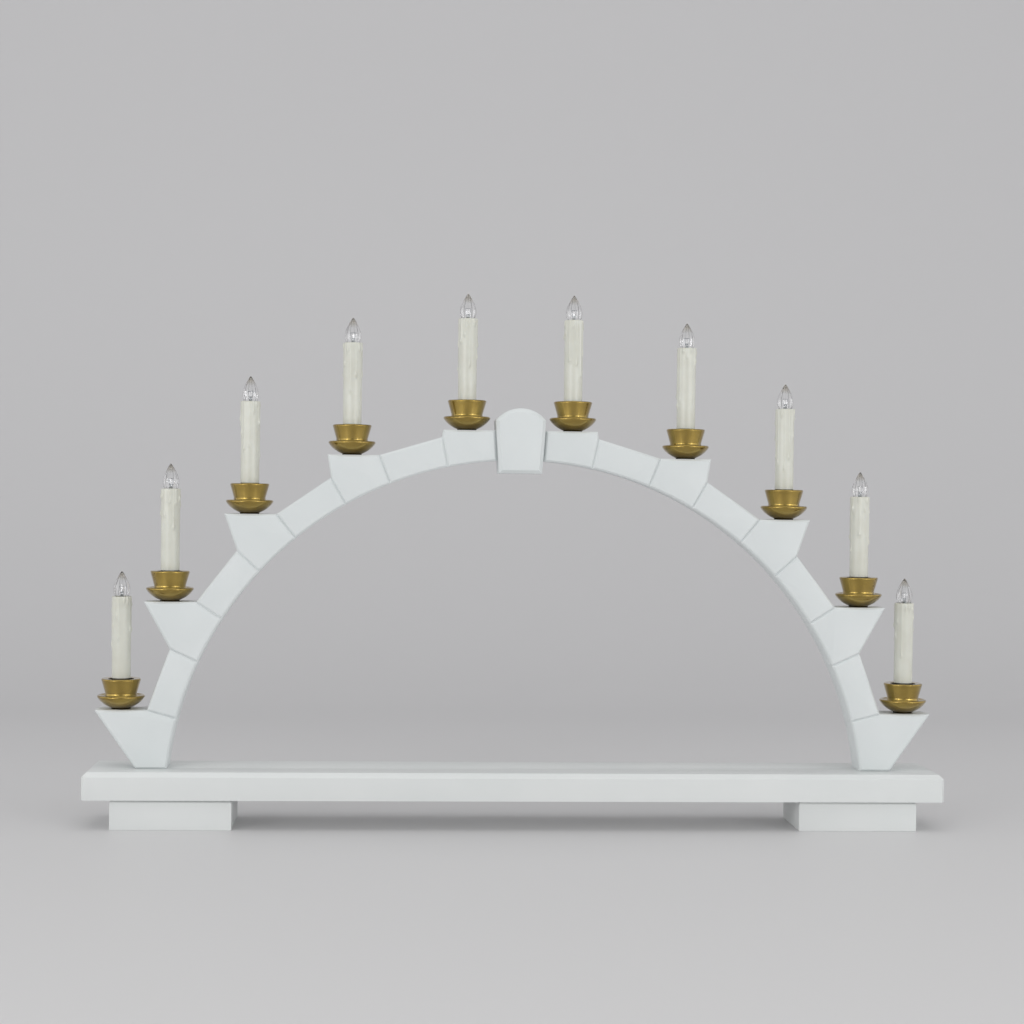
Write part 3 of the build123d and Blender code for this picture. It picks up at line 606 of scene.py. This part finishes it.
# Bulb caps. Thin nickelled brass, rolled with the small lamp thread and cemented to the glass.
# Only the plain collar above the thread shows, when a bulb is screwed out.
CAP_STEPS = 48
CAP_CREST = 4.75
CAP_ROOT = 4.4
CAP_BOTTOM = 72.4
CAP_TOP = 82.4
CAP_FLOOR = 3.7
CAP_COLLAR = 4.7
THREAD_FROM = 72.9
THREAD_TOP = 79.6
THREAD_PITCH = 1.814
THREAD_ROWS = 8                       # rows of faces to one turn of the thread
NICKEL_SMEAR = 1.5 * MM
thread_middle = (CAP_CREST + CAP_ROOT) / 2
cap_line = [(0, CAP_BOTTOM), (CAP_FLOOR, CAP_BOTTOM), (4.2, CAP_BOTTOM + 0.2)]
rows = int((THREAD_TOP - THREAD_FROM) / THREAD_PITCH * THREAD_ROWS)
cap_line += [(thread_middle, THREAD_FROM + THREAD_PITCH * row / THREAD_ROWS) for row in range(rows)]
cap_line += [(CAP_ROOT, THREAD_TOP), (4.6, THREAD_TOP + 0.4), (CAP_COLLAR, THREAD_TOP + 0.8)]
cap_line += [(CAP_COLLAR, CAP_TOP - 0.3), (4.6, CAP_TOP), (4.3, CAP_TOP), (0, CAP_TOP)]
cap = bmesh.new()
spun(cap, in_mm(cap_line), CAP_STEPS)
for corner in cap.verts:
    height = corner.co.z / MM
    if THREAD_FROM - 0.1 < height < THREAD_TOP - 0.1:
        turn = math.atan2(corner.co.y, corner.co.x)
        wave = math.cos(math.tau * height / THREAD_PITCH - turn)
        share = 1 + (CAP_CREST - CAP_ROOT) / 2 * wave / thread_middle
        corner.co.x *= share
        corner.co.y *= share

# Nickel plate is a bright, slightly warm mirror, smeared by fingers.
material, tree = start_material("nickelled_brass")
place = add(tree, "ShaderNodeTexCoord").outputs["Object"]
smear = add(tree, "ShaderNodeTexNoise", {"Vector": place, "Scale": 1 / NICKEL_SMEAR, "Detail": 3.0})
nickel = add(tree, "ShaderNodeValToRGB", {"Fac": smear.outputs["Fac"]})
nickel.color_ramp.elements[0].color = linear("b4b1a8")
nickel.color_ramp.elements[1].color = linear("d8d6cf")
polish = add(tree, "ShaderNodeMapRange", {"Value": smear.outputs["Fac"], "To Min": 0.16, "To Max": 0.32})
shader = add(tree, "ShaderNodeBsdfPrincipled", {
    "Base Color": nickel.outputs["Color"], "Metallic": 1.0, "Roughness": polish.outputs["Result"]})
add(tree, "ShaderNodeOutputMaterial", {"Surface": shader.outputs["BSDF"]})
cap_pattern = bpy.data.meshes.new("cap_pattern")
cap.to_mesh(cap_pattern)
cap.free()
for number, seat in enumerate(seats, start=1):
    threaded = bmesh.new()
    threaded.from_mesh(cap_pattern)
    bmesh.ops.translate(threaded, verts=threaded.verts, vec=seat)
    piece = finished(f"threaded_cap_{number:02d}", threaded, material, 50)
    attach(piece, f"bulb_turn_{number:02d}")
    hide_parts(f"bulb_cap_{number:02d}")
bpy.data.meshes.remove(cap_pattern)

# Bulb glass. Clear glass blown into a fluted flame mould and drawn off to a point at the top, which is tinted
# brown as painted shade where the solid point looks darker.
# The thin wall follows the mould's twelve hollow flutes, which turn the lamps into upright streaks.
# Heights of the glass and of what stands in it are above the cap.
FLUTES = 12
FLUTE_STEPS = 8
FLUTE_DEPTH = 0.085                   # as a share of the ridges' radius
FLUTES_FROM = 1.0
FLUTES_FULL = 3.5
NECK = 4.6
NECK_HEIGHT = 1.2
SHOULDER = (5.65, 3.0)
SHOULDER_PULL = (5.3, 2.0)
BELLY = 6.05
BELLY_HEIGHT = 7.2
BELLY_PULL = 4.6
GLASS_HEIGHT = 20.2
POINT = 0.4
POINT_STEPS = 16
FULLNESS = 1.6
GLASS_WALL = 0.35
HOLLOW_SHOULDER = 16.4
HOLLOW_TOP = 18.4
HOLLOW_PULL = 0.45
# the brown tint of painted shade starts at this height above the cap
TIP_SHADE_FROM = 13.2
GLASS_RIPPLE = 4 * MM
RIPPLE_DEPTH = 0.2 * MM
bulb_random = random.Random(5)
belly = (BELLY, BELLY_HEIGHT)
flame_line = [(NECK, 0.0), (NECK, NECK_HEIGHT)] + bend((NECK, NECK_HEIGHT), SHOULDER_PULL, SHOULDER, 3)
flame_line += [SHOULDER] + bend(SHOULDER, (BELLY, BELLY_PULL), belly, 4)
for step in range(POINT_STEPS + 1):
    share = step / POINT_STEPS
    width = POINT + (BELLY - POINT) * (1 - share ** FULLNESS)
    flame_line.append((width, BELLY_HEIGHT + (GLASS_HEIGHT - BELLY_HEIGHT) * share))
hollow_line = [(radius - GLASS_WALL, height) for radius, height in flame_line if height < HOLLOW_SHOULDER]
hollow_pull = (hollow_line[-1][0] * HOLLOW_PULL, HOLLOW_TOP - 0.3)
hollow_line += bend(hollow_line[-1], hollow_pull, (0, HOLLOW_TOP), 5)
hollow_line = [(NECK, 0.0)] + hollow_line + [(0, HOLLOW_TOP)]
flame_line += [(0, GLASS_HEIGHT)]
flame = bmesh.new()
for line in (flame_line, hollow_line):
    spun(flame, in_mm([(radius, CAP_TOP + height) for radius, height in line]), FLUTES * FLUTE_STEPS)
for corner in flame.verts:
    grown = (corner.co.z / MM - CAP_TOP - FLUTES_FROM) / (FLUTES_FULL - FLUTES_FROM)
    turn = math.atan2(corner.co.y, corner.co.x)
    share = 1 - FLUTE_DEPTH * min(max(grown, 0), 1) * abs(math.sin(turn * FLUTES / 2))
    corner.co.x *= share
    corner.co.y *= share
# A share from 0 to 1 up the point, which sets the brown tint of painted shade.
tip_shade = flame.verts.layers.float.new("tip_shade")
for corner in flame.verts:
    risen = (corner.co.z / MM - CAP_TOP - TIP_SHADE_FROM) / (GLASS_HEIGHT - TIP_SHADE_FROM)
    corner[tip_shade] = min(max(risen, 0), 1)
flame_pattern = bpy.data.meshes.new("flame_pattern")
flame.to_mesh(flame_pattern)
flame.free()

# Blown glass is clear with slight ripples that break up its reflections; towards the point it is tinted brown
# as painted shade, for the darkness of the refracting point.
material, tree = start_material("clear_blown_glass")
place = add(tree, "ShaderNodeTexCoord").outputs["Object"]
ripple = add(tree, "ShaderNodeTexNoise", {"Vector": place, "Scale": 1 / GLASS_RIPPLE, "Detail": 1.0})
uneven = add(tree, "ShaderNodeBump", {
    "Height": ripple.outputs["Fac"], "Strength": 0.2, "Distance": RIPPLE_DEPTH})
tip_shading = add(tree, "ShaderNodeAttribute", attribute_name="tip_shade")
clear = add(tree, "ShaderNodeValToRGB", {"Fac": tip_shading.outputs["Fac"]})
clear.color_ramp.elements[0].color = linear("ffffff")
clear.color_ramp.elements[1].color = linear("d2ccbf")
shader = add(tree, "ShaderNodeBsdfPrincipled", {
    "Base Color": clear.outputs["Color"], "Transmission Weight": 1.0, "Roughness": 0.02, "IOR": 1.5,
    "Normal": uneven.outputs["Normal"]})
add(tree, "ShaderNodeOutputMaterial", {"Surface": shader.outputs["BSDF"]})
for number, seat in enumerate(seats, start=1):
    blown = bmesh.new()
    blown.from_mesh(flame_pattern)
    screwed_in = Matrix.Rotation(bulb_random.uniform(0, math.tau), 3, "Z")
    bmesh.ops.rotate(blown, verts=blown.verts, cent=(0, 0, 0), matrix=screwed_in)
    bmesh.ops.translate(blown, verts=blown.verts, vec=seat)
    piece = finished(f"flame_glass_{number:02d}", blown, material, 20)
    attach(piece, f"bulb_turn_{number:02d}")
    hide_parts(f"bulb_glass_{number:02d}")
bpy.data.meshes.remove(flame_pattern)

# Filament mounts. A pinched glass stem on the cap carries two nickel leads, tied by a glass bead, with
# a coiled tungsten filament between their ends.
STEM_LINE = [(0, 0), (2.6, 0), (2.2, 0.8), (1.3, 1.8), (1.15, 3.2), (0, 3.7)]
STEM_STEPS = 24
BEAD_HEIGHT = 4.6
BEAD_RADIUS = 0.62
BEAD_STRETCH = 2.1
LEAD_FOOT = 0.9
LEAD_AT_BEAD = 1.0
LEAD_SPREAD = 1.9
LEAD_TOP = 9.0
LEAD_RADIUS = 0.12
LEAD_SIDES = 10
COIL_RADIUS = 0.28
COIL_WIRE = 0.06
COIL_SIDES = 6
COIL_TURNS = 14
COIL_STEPS = 12                       # to one turn of the coil
NICKEL_DRAW = 0.6 * MM
STEM_MILK = 1.0 * MM


def rod(shape, start, end):
    """A straight round lead between two points in millimetres above a candle's shelf."""
    start, end = Vector(start) * MM, Vector(end) * MM
    turn = Vector((0, 0, 1)).rotation_difference(end - start).to_matrix().to_4x4()
    bmesh.ops.create_cone(shape, cap_ends=True, segments=LEAD_SIDES, radius1=LEAD_RADIUS * MM,
                          radius2=LEAD_RADIUS * MM, depth=(end - start).length,
                          matrix=Matrix.Translation((start + end) / 2) @ turn)


leads = bmesh.new()
for side in (-1, 1):
    at_bead = (side * LEAD_AT_BEAD, 0, CAP_TOP + BEAD_HEIGHT)
    rod(leads, (side * LEAD_FOOT, 0, CAP_TOP), at_bead)
    rod(leads, at_bead, (side * LEAD_SPREAD, 0, CAP_TOP + LEAD_TOP))
coil_start = Vector((-LEAD_SPREAD, COIL_RADIUS, CAP_TOP + LEAD_TOP)) * MM
bmesh.ops.create_circle(leads, segments=COIL_SIDES, radius=COIL_WIRE * MM,
                        matrix=Matrix.Translation(coil_start))
ring = [corner for corner in leads.verts if not corner.link_faces]
ring_lines = list({edge for corner in ring for edge in corner.link_edges})
coil_steps = COIL_TURNS * COIL_STEPS
bmesh.ops.spin(leads, geom=ring + ring_lines, cent=Vector((0, 0, CAP_TOP + LEAD_TOP)) * MM, axis=(1, 0, 0),
               dvec=(2 * LEAD_SPREAD * MM / coil_steps, 0, 0), angle=math.tau * COIL_TURNS, steps=coil_steps,
               use_merge=False)
bmesh.ops.holes_fill(leads, edges=[edge for edge in leads.edges if edge.is_boundary], sides=0)
bmesh.ops.recalc_face_normals(leads, faces=leads.faces)
leads_pattern = bpy.data.meshes.new("leads_pattern")
leads.to_mesh(leads_pattern)
leads.free()
stem = bmesh.new()
spun(stem, in_mm([(radius, CAP_TOP + height) for radius, height in STEM_LINE]), STEM_STEPS)
bead = bmesh.ops.create_uvsphere(stem, u_segments=16, v_segments=10, radius=BEAD_RADIUS * MM,
                                 matrix=Matrix.Translation((0, 0, (CAP_TOP + BEAD_HEIGHT) * MM)))
bmesh.ops.scale(stem, verts=bead["verts"], vec=(BEAD_STRETCH, 1, 1))
stem_pattern = bpy.data.meshes.new("stem_pattern")
stem.to_mesh(stem_pattern)
stem.free()

# Drawn wire is a thin grey metal line that glints along one side. The coil looks the same.
lead_metal, tree = start_material("drawn_nickel_wire")
place = add(tree, "ShaderNodeTexCoord").outputs["Object"]
draw = add(tree, "ShaderNodeTexNoise", {"Vector": place, "Scale": 1 / NICKEL_DRAW, "Detail": 2.0})
grey = add(tree, "ShaderNodeValToRGB", {"Fac": draw.outputs["Fac"]})
grey.color_ramp.elements[0].color = linear("6f747c")
grey.color_ramp.elements[1].color = linear("a3a8ae")
shader = add(tree, "ShaderNodeBsdfPrincipled", {
    "Base Color": grey.outputs["Color"], "Metallic": 1.0, "Roughness": 0.3})
add(tree, "ShaderNodeOutputMaterial", {"Surface": shader.outputs["BSDF"]})

# Pinched glass is milky and bright, and shows as a pale core in the clear bulb.
stem_glass, tree = start_material("pressed_stem_glass")
place = add(tree, "ShaderNodeTexCoord").outputs["Object"]
milk = add(tree, "ShaderNodeTexNoise", {"Vector": place, "Scale": 1 / STEM_MILK, "Detail": 2.0})
pale = add(tree, "ShaderNodeValToRGB", {"Fac": milk.outputs["Fac"]})
pale.color_ramp.elements[0].color = linear("c9d2d8")
pale.color_ramp.elements[1].color = linear("eef3f5")
shader = add(tree, "ShaderNodeBsdfPrincipled", {
    "Base Color": pale.outputs["Color"], "Transmission Weight": 0.6, "Roughness": 0.15, "IOR": 1.5})
add(tree, "ShaderNodeOutputMaterial", {"Surface": shader.outputs["BSDF"]})
for number, seat in enumerate(seats, start=1):
    for name, pattern, stuff, slot in (("filament", leads_pattern, lead_metal, "cap_metal"),
                                       ("stem", stem_pattern, stem_glass, "clear_glass")):
        fitted = bmesh.new()
        fitted.from_mesh(pattern)
        bmesh.ops.translate(fitted, verts=fitted.verts, vec=seat)
        piece = finished(f"{name}_{number:02d}", fitted, stuff, 60)
        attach(piece, f"bulb_turn_{number:02d}")
bpy.data.meshes.remove(leads_pattern)
bpy.data.meshes.remove(stem_pattern)

# Floor and backdrop. A wide sweep of satin pale grey card that runs from under the arch up behind it.
# It is coloured a shade greyer towards the rear, as painted shade for the light that falls off towards the
# backdrop. Sizes from here on are in metres.
FLOOR_WIDTH = 9.0
FLOOR_FRONT = -4.0
FLOOR_REAR = 1.6
BACKDROP_HEIGHT = 4.0
SWEEP = 0.9
SWEEP_STEPS = 24
SHADE_FRONT = -0.7
SHADE_REAR = 0.9
card = bmesh.new()
card_side = ((FLOOR_FRONT, 0), (FLOOR_REAR, 0), (FLOOR_REAR, BACKDROP_HEIGHT))
corners = [card.verts.new((-FLOOR_WIDTH / 2, y, z)) for y, z in card_side]
lines = [card.edges.new(pair) for pair in zip(corners, corners[1:])]
wide = bmesh.ops.extrude_edge_only(card, edges=lines)
moved = [item for item in wide["geom"] if isinstance(item, bmesh.types.BMVert)]
bmesh.ops.translate(card, verts=moved, vec=(FLOOR_WIDTH, 0, 0))
fold = []
for edge in card.edges:
    if all(abs(corner.co.y - FLOOR_REAR) < MM and abs(corner.co.z) < MM for corner in edge.verts):
        fold.append(edge)
bmesh.ops.bevel(card, geom=fold, offset=SWEEP, offset_type="OFFSET", affect="EDGES", segments=SWEEP_STEPS,
                profile=0.5, material=-1)
bmesh.ops.recalc_face_normals(card, faces=card.faces)

# Satin card takes soft shadows, and its slight gloss lifts the shadow under the plank.
material, tree = start_material("pale_grey_card")
place = add(tree, "ShaderNodeTexCoord").outputs["Object"]
parts = add(tree, "ShaderNodeSeparateXYZ", {"Vector": place})
# Painted shade: the card turns greyer from front to rear.
shade = add(tree, "ShaderNodeMapRange", {
    "Value": parts.outputs["Y"], "From Min": SHADE_FRONT, "From Max": SHADE_REAR})
greys = add(tree, "ShaderNodeValToRGB", {"Fac": shade.outputs["Result"]})
greys.color_ramp.elements[0].color = linear("dcdbdb")
greys.color_ramp.elements[1].color = linear("cdcccd")
shader = add(tree, "ShaderNodeBsdfPrincipled", {"Base Color": greys.outputs["Color"], "Roughness": 0.5})
add(tree, "ShaderNodeOutputMaterial", {"Surface": shader.outputs["BSDF"]})
sweep = finished("card_sweep", card, material, 60)

# Studio light. A wide soft box stands left and right of the camera, each with a brighter tube before its
# middle, and a low glowing wall at either side; a large box hangs overhead, in an even white room.
# Each lamp has its place, its width and height, and its power in watts.
LAMPS = (
    ("left_box", (-1.45, -1.75, 0.6), (2.1, 0.9), 8.0),
    ("left_tube", (-1.4, -1.7, 0.6), (0.3, 1.0), 3.8),
    ("left_wall", (-1.9, -0.2, 0.55), (2.2, 1.0), 5.0),
    ("right_box", (1.45, -1.75, 0.6), (2.1, 0.9), 7.6),
    ("right_tube", (1.4, -1.7, 0.6), (0.3, 1.0), 3.6),
    ("right_wall", (1.9, -0.2, 0.55), (2.2, 1.0), 4.8),
    ("top_box", (0.0, -0.4, 2.4), (2.2, 1.6), 10.0),
)
LAMPS_AIM = (0, 0, 0.2)
ROOM_WHITE = "f6f7f8"
ROOM_STRENGTH = 0.56
for name, spot, size, power in LAMPS:
    light = bpy.data.lights.new(name, "AREA")
    light.shape = "RECTANGLE"
    light.size, light.size_y = size
    light.energy = power
    lamp = bpy.data.objects.new(name, light)
    aim = Vector(LAMPS_AIM) - Vector(spot)
    lamp.location = spot
    lamp.rotation_euler = aim.to_track_quat("-Z", "Y").to_euler()
    lamp.visible_camera = False
    bpy.context.scene.collection.objects.link(lamp)
room = bpy.data.worlds.new("white_room")
room.use_nodes = True
room.node_tree.nodes["Background"].inputs["Color"].default_value = linear(ROOM_WHITE)
room.node_tree.nodes["Background"].inputs["Strength"].default_value = ROOM_STRENGTH
bpy.context.scene.world = room
bpy.context.scene.view_settings.view_transform = "Standard"

# Camera. At two thirds of the arch's height, a little left of its middle, with a short telephoto lens.
# It is turned slightly to the right, dips a little and is not quite level.
CAMERA_PLACE = (-94.9 * MM, -1480.3 * MM, 255.0 * MM)
CAMERA_TURN = -3.475
CAMERA_DIP = 1.169
CAMERA_ROLL = 0.694
SENSOR_WIDTH = 36
LENS = 69.11
LENS_SHIFT = 0.01465
camera = bpy.data.objects.new("camera", bpy.data.cameras.new("camera"))
camera.data.sensor_width = SENSOR_WIDTH
camera.data.lens = LENS
camera.data.shift_y = LENS_SHIFT
turned = Matrix.Rotation(math.radians(CAMERA_TURN), 4, "Z")
dipped = Matrix.Rotation(math.radians(90 - CAMERA_DIP), 4, "X")
rolled = Matrix.Rotation(math.radians(CAMERA_ROLL), 4, "Z")
camera.matrix_world = Matrix.Translation(CAMERA_PLACE) @ turned @ dipped @ rolled
bpy.context.scene.collection.objects.link(camera)
bpy.context.scene.camera = camera
